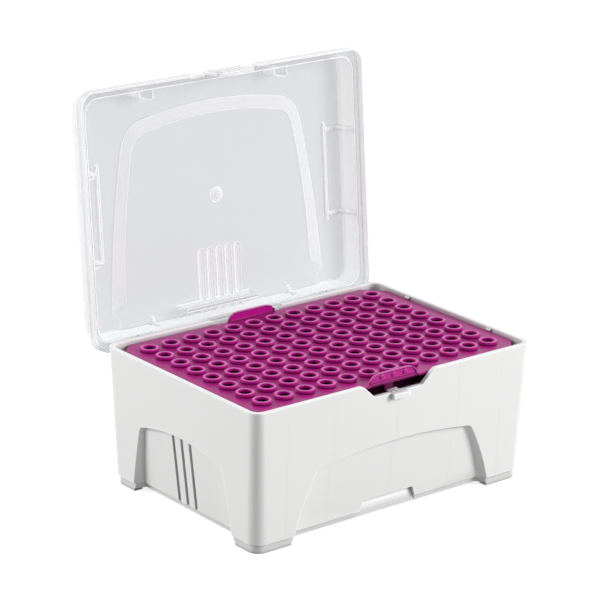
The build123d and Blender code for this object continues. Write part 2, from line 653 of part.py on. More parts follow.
def side_rails():
    """Low rails beside each side wall, with cross ribs and fins that tie them to the wall."""
    rails = Part()
    low = CAVITY_TOP - RAIL_HEIGHT
    wall = CAVITY_HALF_LENGTH + LID_WALL / 2
    half = FIN_THICKNESS / 2
    top = CAVITY_TOP + LID_WALL / 2
    toe = FLANGE_UNDER + FIN_TAPER
    inner = CAVITY_HALF_LENGTH - FIN_REACH
    fin = Polygon((wall, top), (RAIL_HALF_SPACING, top), (RAIL_HALF_SPACING, low), (inner + FIN_TAPER, low),
                  (inner, toe + FIN_TOE), (CAVITY_HALF_LENGTH, toe), (wall, toe), align=None)
    for sign in (-1, 1):
        near, far = RAIL_START - FIN_THICKNESS / 2, RAIL_END + RAIL_OVERRUN
        if sign > 0:
            near -= RAIL_UNDERRUN
        rail_x = sorted((sign * (RAIL_HALF_SPACING - RAIL_THICKNESS / 2),
                         sign * (RAIL_HALF_SPACING + RAIL_THICKNESS / 2)))
        rails += block(rail_x, (along(far), along(near)), (low, top))
        for place in (RAIL_START, RAIL_END):
            plane = Plane(origin=(0, along(place) + half, 0), x_dir=(1, 0, 0), z_dir=(0, -1, 0))
            rib = extrude(plane * fin, amount=FIN_THICKNESS)
            rails += rib if sign > 0 else mirror(rib, Plane.YZ)
    return rails


def hinge_side_forms():
    """Two corner fins and the shelf beside the lid's hinge-side wall."""
    forms = Part()
    wall = CAVITY_REAR + LID_WALL / 2
    top = CAVITY_TOP + LID_WALL / 2
    tip = CAVITY_REAR - HINGE_FIN_HEIGHT
    low = CAVITY_TOP - HINGE_FIN_DEPTH
    fin = Polygon((wall, top), (tip, top), (tip, CAVITY_TOP),
                  (CAVITY_REAR - FIN_THICKNESS, CAVITY_TOP - HINGE_FIN_STEP),
                  (CAVITY_REAR, low), (wall, low), align=None)
    for sign in (-1, 1):
        start = sign * HINGE_FIN_SPACING / 2 - FIN_THICKNESS / 2
        plane = Plane(origin=(start, 0, 0), x_dir=(0, 1, 0), z_dir=(1, 0, 0))
        forms += extrude(plane * fin, amount=FIN_THICKNESS)
    near = CAVITY_REAR - SHELF_LEVEL
    return forms + block((SHELF_LEFT, SHELF_RIGHT), (near, near + SHELF_THICKNESS),
                         (FLANGE_UNDER + SHELF_START, top))


def free_edge_tabs():
    """Two short tabs on the free-edge wall, each with a slanting lower edge."""
    tabs = Part()
    low = CAVITY_FRONT - LID_WALL / 2
    for middle in (EDGE_TAB_OFFSET - EDGE_TAB_SPACING / 2, EDGE_TAB_OFFSET + EDGE_TAB_SPACING / 2):
        left, right = middle - EDGE_TAB_WIDTH / 2, middle + EDGE_TAB_WIDTH / 2
        drop = CAVITY_FRONT + EDGE_TAB_DROP
        outline = Polygon((left, low), (right, low), (right, drop + EDGE_TAB_SLANT / 2),
                          (right - EDGE_TAB_WIDTH / 6, drop + EDGE_TAB_SLANT), (left, drop), align=None)
        start = FLANGE_UNDER + EDGE_TAB_START
        tabs += extrude(Pos(0, 0, start) * outline, amount=CAVITY_TOP + LID_WALL / 2 - start)
    return tabs


def latch_tongue():
    """Tongue with a window, hanging from the flange in front of the catch."""
    front = SKIRT_FRONT
    back = front + TONGUE_THICKNESS
    low = CATCH_TOP - CATCH_HEIGHT - LATCH_GAP - TONGUE_BAR
    tongue = block((-TONGUE_HALF_WIDTH, TONGUE_HALF_WIDTH), (front, back), (low, FLANGE_TOP))
    tongue = fillet(tongue.edges().filter_by(Axis.Y).sort_by(Axis.Z)[:2], TONGUE_BAR * 0.9)
    half = CATCH_WIDTH / 2 + LATCH_GAP
    tongue -= block((-half, half), (front - PAST, back + PAST), (low + TONGUE_BAR, CATCH_TOP + LATCH_GAP))
    root = block((-TONGUE_HALF_WIDTH, TONGUE_HALF_WIDTH), (front, CAVITY_FRONT), (FLANGE_UNDER, FLANGE_TOP))
    return tongue + root


def hinge_pins():
    """Pins and the webs that carry them from the flange and the rear skirt."""
    pins = Part()
    for sign in (-1, 1):
        middle = sign * HINGE_SPACING / 2
        pin = Pos(middle, HINGE_Y, HINGE_Z) * Rot(0, 90, 0) * Cylinder(PIN_RADIUS, PIN_SPAN)
        pins += pin
        for side in (-1, 1):
            x = middle + side * (PIN_SPAN - WEB_THICKNESS) / 2
            plane = Plane(origin=(x - WEB_THICKNESS / 2, 0, 0), x_dir=(0, 1, 0), z_dir=(1, 0, 0))
            inner = HINGE_Y - WEB_RADIUS
            web = Pos(HINGE_Y, HINGE_Z) * Circle(WEB_RADIUS)
            web += Polygon((inner, HINGE_Z), (SKIRT_REAR - SKIRT_WALL / 2, RIM_LEVEL),
                           (SKIRT_REAR - SKIRT_WALL / 2, FLANGE_UNDER + LID_WALL / 2),
                           (inner + 0.6, FLANGE_UNDER + LID_WALL / 2), align=None)
            pins += extrude(plane * web, amount=WEB_THICKNESS)
    return pins


def make_lid():
    """The lid in one piece, shut."""
    lid = lid_shell()
    lid -= pressed_arch(LID_TOP)
    lid += pressed_arch(CAVITY_TOP)
    room = lid_block(LID_WALL, FLANGE_UNDER, LID_TOP + 2 * LID_RIB_DEPTH, CAVITY_CORNER + LID_WALL)
    lid += lid_ribs(LID_WALL) & room & block((-BIG, BIG), (-BIG, BIG), (CAVITY_TOP, BIG))
    lid += gate_mark()
    lid -= lid_ribs(0) & block((-BIG, BIG), (-BIG, CAVITY_REAR), (CAVITY_TOP - ARCH_PRESS - PAST, BIG))
    lid += side_rails() + hinge_side_forms() + free_edge_tabs()
    lid -= block((-LATCH_RELIEF_HALF, LATCH_RELIEF_HALF), (SKIRT_FRONT - PAST, SKIRT_FRONT + LATCH_TRIM),
                 (RIM_LEVEL - PAST, FLANGE_TOP + PAST))
    lid += latch_tongue()
    notch = LUG_WIDTH / 2 + LUG_SIDE_GAP
    for sign in (-1, 1):
        middle = sign * HINGE_SPACING / 2
        lid -= block((middle - notch, middle + notch),
                     (SKIRT_REAR - SKIRT_WALL - SKIRT_CORNER_GAP, SKIRT_REAR + PAST),
                     (RIM_LEVEL - PAST, FLANGE_UNDER))
    return lid + hinge_pins()


def swung(part, angle):
    """The lid turned about its hinge; a negative angle opens it."""
    return Pos(0, HINGE_Y, HINGE_Z) * Rot(angle, 0, 0) * Pos(0, -HINGE_Y, -HINGE_Z) * part


def main():
    pieces = {"base": make_base(), "tip_tray": make_tray(), "lid": swung(make_lid(), -OPEN_ANGLE)}
    boxes = [piece.bounding_box() for piece in pieces.values()]
    middle_y = (min(box.min.Y for box in boxes) + max(box.max.Y for box in boxes)) / 2
    os.makedirs("parts", exist_ok=True)
    for name, piece in pieces.items():
        placed = Pos(0, -middle_y, 0) * piece
        solids = placed.solids()
        export_step(solids[0] if len(solids) == 1 else placed, f"parts/{name}.step")
        print(name, len(solids), "solid", round(placed.volume), "mm3")
    print("origin is", round(middle_y, 3), "behind the tub's middle")


main()
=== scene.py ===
"""Box of pipette tips: finishes for the tub, the tip tray and the clear lid, and the studio round them."""
import json
from math import copysign, cos, radians, sin

import bmesh
import bpy
from bpy.props import FloatProperty, FloatVectorProperty, PointerProperty
from mathutils import Matrix, Vector


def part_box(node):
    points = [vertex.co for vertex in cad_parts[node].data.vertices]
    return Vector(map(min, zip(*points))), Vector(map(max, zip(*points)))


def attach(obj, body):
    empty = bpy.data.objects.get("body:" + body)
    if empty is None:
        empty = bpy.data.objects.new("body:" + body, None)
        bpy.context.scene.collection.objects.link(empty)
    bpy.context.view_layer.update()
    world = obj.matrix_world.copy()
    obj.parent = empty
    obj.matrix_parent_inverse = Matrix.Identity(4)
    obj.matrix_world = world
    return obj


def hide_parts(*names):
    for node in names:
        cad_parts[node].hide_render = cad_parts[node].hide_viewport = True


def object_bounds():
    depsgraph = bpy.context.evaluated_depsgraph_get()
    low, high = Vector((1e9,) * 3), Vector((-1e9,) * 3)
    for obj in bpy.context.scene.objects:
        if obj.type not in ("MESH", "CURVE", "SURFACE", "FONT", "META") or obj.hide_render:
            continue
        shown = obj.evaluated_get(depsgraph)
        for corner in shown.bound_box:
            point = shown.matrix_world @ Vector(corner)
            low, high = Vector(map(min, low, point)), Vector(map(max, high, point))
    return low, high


bl_info = {
    "name": "Pipette Tip Box",
    "version": (1, 0, 0),
    "blender": (4, 5, 0),
    "location": "3D Viewport > Sidebar > Tip Box",
    "description": "Finishes a hinged box of pipette tips and sets up its studio",
    "category": "Object",
}

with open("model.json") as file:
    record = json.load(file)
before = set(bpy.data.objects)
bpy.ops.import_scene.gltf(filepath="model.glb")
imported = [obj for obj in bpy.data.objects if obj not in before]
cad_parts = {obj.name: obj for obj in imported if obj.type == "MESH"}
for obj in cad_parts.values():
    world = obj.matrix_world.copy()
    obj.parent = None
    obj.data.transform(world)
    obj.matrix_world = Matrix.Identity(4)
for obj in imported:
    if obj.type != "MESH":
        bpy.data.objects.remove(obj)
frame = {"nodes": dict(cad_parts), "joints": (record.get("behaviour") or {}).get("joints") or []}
CAD_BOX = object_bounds()

# the lid stands open at rest by its hinge's whole travel, which turns its panel's normal to this axis
LID_HINGE = next(joint for joint in frame["joints"] if joint["name"] == "lid_hinge")
LID_OPENING = radians(LID_HINGE["range_deg"][1])
PANEL_AXIS = (0.0, sin(LID_OPENING), cos(LID_OPENING))

# points of a construction mesh that lie nearer than this are one
MERGE_DISTANCE = 1e-6
# a crease under the first angle shades smooth, and an outer edge over the second is rounded
CREASE_ANGLE = radians(5.5)
ROUNDED_ANGLE = radians(30.0)
# an edge over this angle is as thin as a knife, and rounding next to it would throw spikes
KNIFE_ANGLE = radians(120.0)
ROUNDING_STEPS = 2

# half width of the blur at the edge of a mask
SOFT_EDGE = 0.0001
# index of refraction of polypropylene
PLASTIC_IOR = 1.49


# ---------------------------------------------------------------- values a user would change
class TubSettings(bpy.types.PropertyGroup):
    colour: FloatVectorProperty(
        name="Tub colour", description="White of the moulded tub", subtype="COLOR", size=4,
        min=0.0, max=1.0, default=(0.8, 0.8, 0.795, 1.0))
    # painted highlight: the tub's edges are mixed toward this whiter colour
    edge_highlight_colour: FloatVectorProperty(
        name="Tub edge colour", description="Painted highlight white along the tub's edges",
        subtype="COLOR", size=4, min=0.0, max=1.0, default=(0.97, 0.97, 0.97, 1.0))
    roughness: FloatProperty(
        name="Tub roughness", description="Sheen of the tub's satin skin", subtype="FACTOR",
        min=0.0, max=1.0, default=0.42)
    # painted shade of the shallow sinks over the ribs behind the walls
    rib_sink_shade: FloatProperty(
        name="Rib sink shade", description="How much darker a wall is where a rib stands behind it",
        subtype="FACTOR", min=0.0, max=1.0, default=0.03)
    # painted shade on the feet and the recessed plinth below the ledge
    painted_plinth_shade: FloatProperty(
        name="Plinth shade", description="Painted shade on the feet and plinth, against the walls",
        subtype="FACTOR", min=0.0, max=1.0, default=0.86)
    notch_floor: FloatProperty(
        name="Notch floor", description="Height that the ribs behind the front notch end at",
        subtype="DISTANCE", unit="LENGTH", min=0.0, default=0.04555)
    notch_rib_reach: FloatProperty(
        name="Notch rib reach", description="How far from the middle the ribs behind the notch lie",
        subtype="DISTANCE", unit="LENGTH", min=0.0, default=0.0017)
    notch_rib_depth: FloatProperty(
        name="Notch rib depth", description="How far back the ribs behind the notch reach",
        subtype="DISTANCE", unit="LENGTH", min=0.0, default=0.003)
    foot_height: FloatProperty(
        name="Foot height", description="Height of the ledge above the feet", subtype="DISTANCE",
        unit="LENGTH", min=0.0, default=0.00325)
    foot_half: FloatVectorProperty(
        name="Foot half size", description="Half length and half depth over the feet", subtype="XYZ",
        unit="LENGTH", size=2, default=(0.05811, 0.04011))
    foot_corner: FloatProperty(
        name="Foot corner", description="Stretch at each end of a side that its corner takes",
        subtype="DISTANCE", unit="LENGTH", min=0.0, default=0.004)
    edge_radius: FloatProperty(
        name="Tub edge radius", description="Rounding that shows on the tub's moulded edges",
        subtype="DISTANCE", unit="LENGTH", min=0.0, max=0.002, default=0.0004)
    # reach of the mask of the tub's painted edge highlight
    light_reach: FloatProperty(
        name="Tub edge light", description="Reach of the light that gathers along the tub's edges",
        subtype="DISTANCE", unit="LENGTH", min=0.0, max=0.002, default=0.0011)


class TraySettings(bpy.types.PropertyGroup):
    colour: FloatVectorProperty(
        name="Tray colour", description="Magenta of the tip tray", subtype="COLOR", size=4,
        min=0.0, max=1.0, default=(0.42, 0.012, 0.215, 1.0))
    # painted highlight on the collars' lips and the tabs' top edges
    lip_highlight_colour: FloatVectorProperty(
        name="Lip colour", description="Paler tone painted as the highlight on the lips", subtype="COLOR", size=4,
        min=0.0, max=1.0, default=(0.62, 0.12, 0.42, 1.0))
    # painted side light: a brighter, deeper copy of the tray colour on the upright walls
    wall_light_colour: FloatVectorProperty(
        name="Wall colour", description="Brighter, deeper magenta painted on the walls of collars and tabs as side light",
        subtype="COLOR", size=4, min=0.0, max=1.0, default=(0.46, 0.007, 0.235, 1.0))
    roughness: FloatProperty(
        name="Tray roughness", description="Gloss of the tray's skin", subtype="FACTOR",
        min=0.0, max=1.0, default=0.3)
    underside_tone: FloatProperty(
        name="Underside tone", description="Tone of the unlit parts under the plate", subtype="FACTOR",
        min=0.0, max=1.0, default=0.12)
    bore_shade: FloatProperty(
        name="Bore shade", description="How much darker the bores are below their lips",
        subtype="FACTOR", min=0.0, max=1.0, default=0.62)
    foot_shade: FloatProperty(
        name="Foot shade", description="How much darker the collars and tabs are at their foot",
        subtype="FACTOR", min=0.0, max=1.0, default=0.7)
    ring_shade: FloatProperty(
        name="Ring shade", description="How much darker the plate is right beside a collar",
        subtype="FACTOR", min=0.0, max=1.0, default=0.4)
    hole_pitch: FloatProperty(
        name="Hole pitch", description="Distance between neighbouring holes", subtype="DISTANCE",
        unit="LENGTH", min=0.001, default=0.009)
    bore_radius: FloatProperty(
        name="Bore radius", description="Radius of the holes", subtype="DISTANCE", unit="LENGTH",
        min=0.0001, default=0.00225)
    collar_radius: FloatProperty(
        name="Collar radius", description="Outer radius of the collars", subtype="DISTANCE",
        unit="LENGTH", min=0.0001, default=0.00325)
    plate_top: FloatProperty(
        name="Plate top", description="Height of the plate's upper face above the floor",
        subtype="DISTANCE", unit="LENGTH", min=0.0, default=0.04895)
    collar_top: FloatProperty(
        name="Collar top", description="Height of the collars' lips above the floor",
        subtype="DISTANCE", unit="LENGTH", min=0.0, default=0.05035)
    edge_radius: FloatProperty(
        name="Tray edge radius", description="Rounding of the collars' and tabs' outer edges",
        subtype="DISTANCE", unit="LENGTH", min=0.0, max=0.002, default=0.0004)
    bump_radius: FloatProperty(
        name="Bump radius", description="Radius of the front tab's grip bumps", subtype="DISTANCE",
        unit="LENGTH", min=0.0002, default=0.00105)
    bump_rise: FloatProperty(
        name="Bump rise", description="How far the grip bumps stand out of the tab",
        subtype="DISTANCE", unit="LENGTH", min=0.0001, default=0.00055)
    bump_pitch: FloatProperty(
        name="Bump pitch", description="Distance between the grip bumps", subtype="DISTANCE",
        unit="LENGTH", min=0.0, default=0.00505)
    bump_place: FloatVectorProperty(
        name="Bump place", description="Middle of the middle bump, on the tab's sunk face",
        subtype="XYZ", unit="LENGTH", size=3, default=(-0.0004, -0.05035, 0.0507))


class LidSettings(bpy.types.PropertyGroup):
    colour: FloatVectorProperty(
        name="Lid colour", description="Tint of the clear lid", subtype="COLOR", size=4,
        min=0.0, max=1.0, default=(0.5, 0.535, 0.56, 1.0))
    # painted highlight on the clear lid's edges, standing walls and arch slopes
    edge_highlight_colour: FloatVectorProperty(
        name="Edge colour", description="Painted highlight on the lid's edges and standing walls",
        subtype="COLOR", size=4, min=0.0, max=1.0, default=(0.98, 0.98, 0.985, 1.0))
    roughness: FloatProperty(
        name="Lid roughness", description="Haze of the natural polypropylene", subtype="FACTOR",
        min=0.0, max=1.0, default=0.3)
    # the standing walls' and the arch slopes' share of the painted highlight
    wall_paleness: FloatProperty(
        name="Wall paleness", description="How near the standing walls come to the edge colour",
        subtype="FACTOR", min=0.0, max=1.0, default=0.85)
    slope_paleness: FloatProperty(
        name="Slope paleness", description="How near the arch's slopes come to the edge colour",
        subtype="FACTOR", min=0.0, max=1.0, default=0.55)
    skin_cover: FloatProperty(
        name="Lid cover", description="Share of light that one skin of the lid's panel stops",
        subtype="FACTOR", min=0.0, max=1.0, default=0.38)
    edge_cover: FloatProperty(
        name="Edge cover", description="Share of light that an edge of the lid stops",
        subtype="FACTOR", min=0.0, max=1.0, default=0.9)
    slope_cover: FloatProperty(
        name="Slope cover", description="How much of their paleness the arch's slopes add to their cover",
        subtype="FACTOR", min=0.0, max=1.0, default=0.6)
    edge_radius: FloatProperty(
        name="Lid edge radius", description="Reach of the light that gathers along the lid's edges",
        subtype="DISTANCE", unit="LENGTH", min=0.0, max=0.002, default=0.0006)


class StudioSettings(bpy.types.PropertyGroup):
    azimuth: FloatProperty(
        name="Camera azimuth", description="Angle round the box, from straight in front",
        subtype="ANGLE", default=radians(-38.625))
    elevation: FloatProperty(
        name="Camera elevation", description="Angle above the floor", subtype="ANGLE",
        default=radians(18.42))
    roll: FloatProperty(
        name="Camera roll", description="Tilt of the camera about its own axis", subtype="ANGLE",
        default=radians(0.79))
    distance: FloatProperty(
        name="Camera distance", description="From the camera to the point it looks at",
        subtype="DISTANCE", unit="LENGTH", min=0.1, default=0.918)
    lens: FloatProperty(
        name="Lens", description="Focal length in millimetres", unit="CAMERA", min=10.0,
        default=159.7)
    aim: FloatVectorProperty(
        name="Aim", description="Point that the camera and the lights are turned to", subtype="XYZ",
        unit="LENGTH", size=3, default=(-0.0027, -0.0027, 0.0644))
    left_light: FloatProperty(
        name="Left light", description="Power of the large light behind, on the left", unit="POWER",
        min=0.0, default=10.1)
    right_light: FloatProperty(
        name="Right light", description="Power of the large light in front, on the right",
        unit="POWER", min=0.0, default=11.9)
    top_light: FloatProperty(
        name="Top light", description="Power of the overhead light", unit="POWER", min=0.0,
        default=2.0)
    surround: FloatProperty(
        name="Surround", description="Level of the light from all round", subtype="FACTOR",
        min=0.0, max=1.0, default=0.325)
    floor_colour: FloatVectorProperty(
        name="Floor colour", description="Grey that gives the floor its shadow", subtype="COLOR",
        size=4, min=0.0, max=1.0, default=(0.4, 0.4, 0.4, 1.0))
    floor_glow: FloatProperty(
        name="Floor glow", description="Strength that lifts the floor to white where it is seen",
        subtype="FACTOR", min=0.0, max=1.0, default=0.82)


# ---------------------------------------------------------------- node helpers
class NodeBoard:
    """A node tree with short ways to add, set and join its nodes."""

    def __init__(self, tree):
        self.tree = tree

    def add(self, kind, inputs=None, **settings):
        """New node, with its settings made first and then its inputs fed."""
        node = self.tree.nodes.new(kind)
        for name, value in settings.items():
            setattr(node, name, value)
        for name, value in (inputs or {}).items():
            self.feed(node.inputs[name], value)
        return node

    def feed(self, socket, value):
        """Join another node's socket to this one, or set this one's value."""
        if isinstance(value, bpy.types.NodeSocket):
            self.tree.links.new(value, socket)
        else:
            socket.default_value = value

    def group(self, tree, inputs):
        """Outputs of a node group, placed with its own values."""
        return self.add("ShaderNodeGroup", inputs, node_tree=tree).outputs

    def math(self, operation, first, second=0.0, clamp=False):
        """Result of a Math node."""
        node = self.add("ShaderNodeMath", {0: first, 1: second}, operation=operation, use_clamp=clamp)
        return node.outputs[0]

    def vector(self, operation, *values):
        """Outputs of a Vector Math node."""
        return self.add("ShaderNodeVectorMath", dict(enumerate(values)), operation=operation).outputs

    def ramp(self, value, low, high, out_low=0.0, out_high=1.0):
        """Smooth step of a value between two limits."""
        node = self.add("ShaderNodeMapRange", {
            "Value": value, "From Min": low, "From Max": high, "To Min": out_low, "To Max": out_high,
        }, interpolation_type="SMOOTHSTEP")
        return node.outputs["Result"]

    def below(self, value, limit, blur):
        """Mask of the values under a limit, with a soft edge."""
        return self.ramp(value, limit + blur, limit - blur)

    def shaded(self, mask, shade):
        """Tone that is left where a mask lets a shade fall."""
        return self.math("SUBTRACT", 1.0, self.math("MULTIPLY", mask, shade))

    def mix(self, factor, first, second):
        """Colour between two others, which are inputs 6 and 7 of a Mix node, with output 2 the result."""
        node = self.add("ShaderNodeMix", {"Factor": factor, 6: first, 7: second}, data_type="RGBA")
        return node.outputs[2]

    def toned(self, colour, tone):
        """Colour made darker or paler by a tone."""
        node = self.add("ShaderNodeVectorMath", {0: colour, "Scale": tone}, operation="SCALE")
        return node.outputs["Vector"]

    def axes(self, output):
        """X, Y and Z of the surface's place, "Object", or of its normal, "Normal", in the object's axes."""
        vector = self.add("ShaderNodeTexCoord").outputs[output]
        return self.add("ShaderNodeSeparateXYZ", {"Vector": vector}).outputs

    def seen(self):
        """Mask of what is looked at itself: by the camera, in a reflection or through glass."""
        path = self.add("ShaderNodeLightPath").outputs
        seen = self.math("MAXIMUM", path["Is Camera Ray"], path["Is Glossy Ray"])
        return self.math("MAXIMUM", seen, path["Is Transmission Ray"])


def new_material(name):
    """Empty node material and the board that its nodes go on."""
    material = bpy.data.materials.new(name)
    material.use_nodes = True
    material.node_tree.nodes.clear()
    return material, NodeBoard(material.node_tree)


def new_group(name, inputs, outputs):
    """Shader node group with the given sockets; returns its board, its inputs and its output node."""
    tree = bpy.data.node_groups.new(name, "ShaderNodeTree")
    for label, kind, default in inputs:
        socket = tree.interface.new_socket(name=label, in_out="INPUT", socket_type=kind)
        socket.default_value = default
    for label in outputs:
        tree.interface.new_socket(name=label, in_out="OUTPUT", socket_type="NodeSocketFloat")
    board = NodeBoard(tree)
    return board, board.add("NodeGroupInput").outputs, board.add("NodeGroupOutput")


# ---------------------------------------------------------------- effects that the plastics share
# limits at which the masks of the edge light are off and full: tilts from the given axis, then bends
WALL_TILTS = (radians(2.0), radians(30.0))
PANEL_TILTS = (radians(14.0), radians(10.0))
SLOPE_TILTS = (radians(4.5), radians(6.5))
CREASE_BENDS = (radians(0.6), radians(2.6))
EDGE_BENDS = (radians(4.0), radians(30.0))


def moulded_skin_group():
    """Cloudy tone, uneven gloss and fine relief of a moulded plastic skin."""
    found = bpy.data.node_groups.get("Moulded skin")
    if found:
        return found
    board, given, result = new_group(
        "Moulded skin",
        [("Cloud scale", "NodeSocketFloat", 40.0), ("Cloud depth", "NodeSocketFloat", 0.03),
         ("Grain scale", "NodeSocketFloat", 1800.0), ("Roughness", "NodeSocketFloat", 0.4),
         ("Gloss variation", "NodeSocketFloat", 0.06)],
        ["Tone", "Roughness", "Height"])
    place = board.add("ShaderNodeTexCoord").outputs["Object"]
    cloud = board.add("ShaderNodeTexNoise", {
        "Vector": place, "Scale": given["Cloud scale"], "Detail": 3.0, "Roughness": 0.55})
    grain = board.add("ShaderNodeTexNoise", {
        "Vector": place, "Scale": given["Grain scale"], "Detail": 2.0, "Roughness": 0.5})
    swing = board.math("SUBTRACT", cloud.outputs["Fac"], 0.5)
    tone = board.math("ADD", board.math("MULTIPLY", swing, given["Cloud depth"]), 1.0)
    rough = board.math("MULTIPLY", swing, given["Gloss variation"])
    rough = board.math("ADD", rough, given["Roughness"], clamp=True)
    board.feed(result.inputs["Tone"], tone)
    board.feed(result.inputs["Roughness"], rough)
    board.feed(result.inputs["Height"], grain.outputs["Fac"])
    return board.tree


def rib_line_group():
    """Mask of a soft upright line at a given X, where a rib stands behind a wall."""
    found = bpy.data.node_groups.get("Rib line")
    if found:
        return found
    board, given, result = new_group(
        "Rib line",
        [("X", "NodeSocketFloat", 0.0), ("Half width", "NodeSocketFloat", 0.0007),
         ("Mask in", "NodeSocketFloat", 0.0)],
        ["Mask"])
    away = board.math("ABSOLUTE", board.math("SUBTRACT", board.axes("Object")["X"], given["X"]))
    mask = board.ramp(board.math("DIVIDE", away, given["Half width"]), 1.0, 0.0)
    board.feed(result.inputs["Mask"], board.math("MAXIMUM", mask, given["Mask in"]))
    return board.tree


def edge_light_group():
    """Masks for painted highlights: a moulding's edges, its walls across a given axis, and its gentle
    slopes.
    """
    found = bpy.data.node_groups.get("Edge light")
    if found:
        return found
    board, given, result = new_group(
        "Edge light",
        [("Radius", "NodeSocketFloat", 0.0004), ("Axis", "NodeSocketVector", (0.0, 0.0, 1.0))],
        ["Edges", "Walls", "Slopes"])
    rounded = board.add("ShaderNodeBevel", {"Radius": given["Radius"]}, samples=16).outputs["Normal"]
    plain = board.add("ShaderNodeNewGeometry").outputs["Normal"]
    along = board.vector("DOT_PRODUCT", rounded, plain)["Value"]
    bend = board.math("ARCCOSINE", board.math("MINIMUM", along, 1.0))
    own = board.add("ShaderNodeTexCoord").outputs["Normal"]
    facing = board.math("ABSOLUTE", board.vector("DOT_PRODUCT", own, given["Axis"])["Value"])

    def tilted(limits):
        """Mask that goes from off to full between two tilts from the axis."""
        return board.ramp(facing, cos(limits[0]), cos(limits[1]))

    panel = tilted(PANEL_TILTS)
    crease = board.math("MULTIPLY", panel, board.ramp(bend, *CREASE_BENDS))
    board.feed(result.inputs["Edges"], board.math("MAXIMUM", crease, board.ramp(bend, *EDGE_BENDS)))
    board.feed(result.inputs["Walls"], tilted(WALL_TILTS))
    board.feed(result.inputs["Slopes"], board.math("MULTIPLY", panel, tilted(SLOPE_TILTS)))
    return board.tree


def recess_shade_group():
    """Tone that falls off in narrow places, where little light reaches the plastic."""
    found = bpy.data.node_groups.get("Recess shade")
    if found:
        return found
    board, given, result = new_group(
        "Recess shade",
        [("Reach", "NodeSocketFloat", 0.004), ("Closed", "NodeSocketFloat", 0.1),
         ("Open", "NodeSocketFloat", 0.6), ("Darkest", "NodeSocketFloat", 0.4)],
        ["Tone"])
    space = board.add("ShaderNodeAmbientOcclusion", {"Distance": given["Reach"]}, samples=8)
    tone = board.ramp(space.outputs["AO"], given["Closed"], given["Open"], given["Darkest"], 1.0)
    board.feed(result.inputs["Tone"], tone)
    return board.tree


# ---------------------------------------------------------------- moulded pieces
def add_object(name, shape, material):
    """New object in the scene, made of a finished bmesh and one material."""
    mesh = bpy.data.meshes.new(name)
    shape.to_mesh(mesh)
    shape.free()
    mesh.materials.append(material)
    made = bpy.data.objects.new(name, mesh)
    bpy.context.scene.collection.objects.link(made)
    return made


def moulding(node_name, piece_name, body, material, edge_radius=0.0, trim=None):
    """Merged copy of a construction piece, in its place: curved faces smooth, creases sharp or rounded."""
    shape = bmesh.new()
    shape.from_mesh(frame["nodes"][node_name].data)
    weights = shape.edges.layers.float.new("bevel_weight_edge")
    # each construction face is an island until the merge, so its boundary is an edge of the piece
    for edge in shape.edges:
        edge.smooth = not edge.is_boundary
    if trim:
        trim(shape)
    bmesh.ops.remove_doubles(shape, verts=shape.verts, dist=MERGE_DISTANCE)
    knives = [edge for edge in shape.edges if edge.calc_face_angle(0.0) > KNIFE_ANGLE]
    knife_ends = {vert for edge in knives for vert in edge.verts}
    for edge in shape.edges:
        turn = edge.calc_face_angle(0.0)
        rounded = edge_radius > 0.0 and turn > ROUNDED_ANGLE and edge.is_convex
        rounded = rounded and knife_ends.isdisjoint(edge.verts)
        edge[weights] = float(rounded)
        edge.smooth = edge.smooth or turn < CREASE_ANGLE or rounded
    for face in shape.faces:
        face.smooth = True
    piece = add_object(piece_name, shape, material)
    if edge_radius:
        rounding = piece.modifiers.new("Moulded edges", "BEVEL")
        rounding.width = edge_radius
        rounding.segments = ROUNDING_STEPS
        rounding.limit_method = "WEIGHT"
        rounding.use_clamp_overlap = False
        rounding.loop_slide = False
    shading = piece.modifiers.new("Flat faces stay flat", "WEIGHTED_NORMAL")
    shading.keep_sharp = True
    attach(piece, body)
    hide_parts(node_name)


# ---------------------------------------------------------------- the tub
# X of the ribs behind the long walls, where faint darker lines are painted as the shade of the shallow
# sinks over them
RIB_LINES = (-0.0466, -0.027, 0.0, 0.027, 0.0466)
# the painted edge highlight stays off where the recess shade's tone is under the first value, and is full
# over the second
HIGHLIGHT_TONES = (0.7, 0.95)
# the ends of the seat ribs stand out of the feet by an amount between these
RIB_END_LOW = 0.0001
RIB_END_HIGH = 0.0003


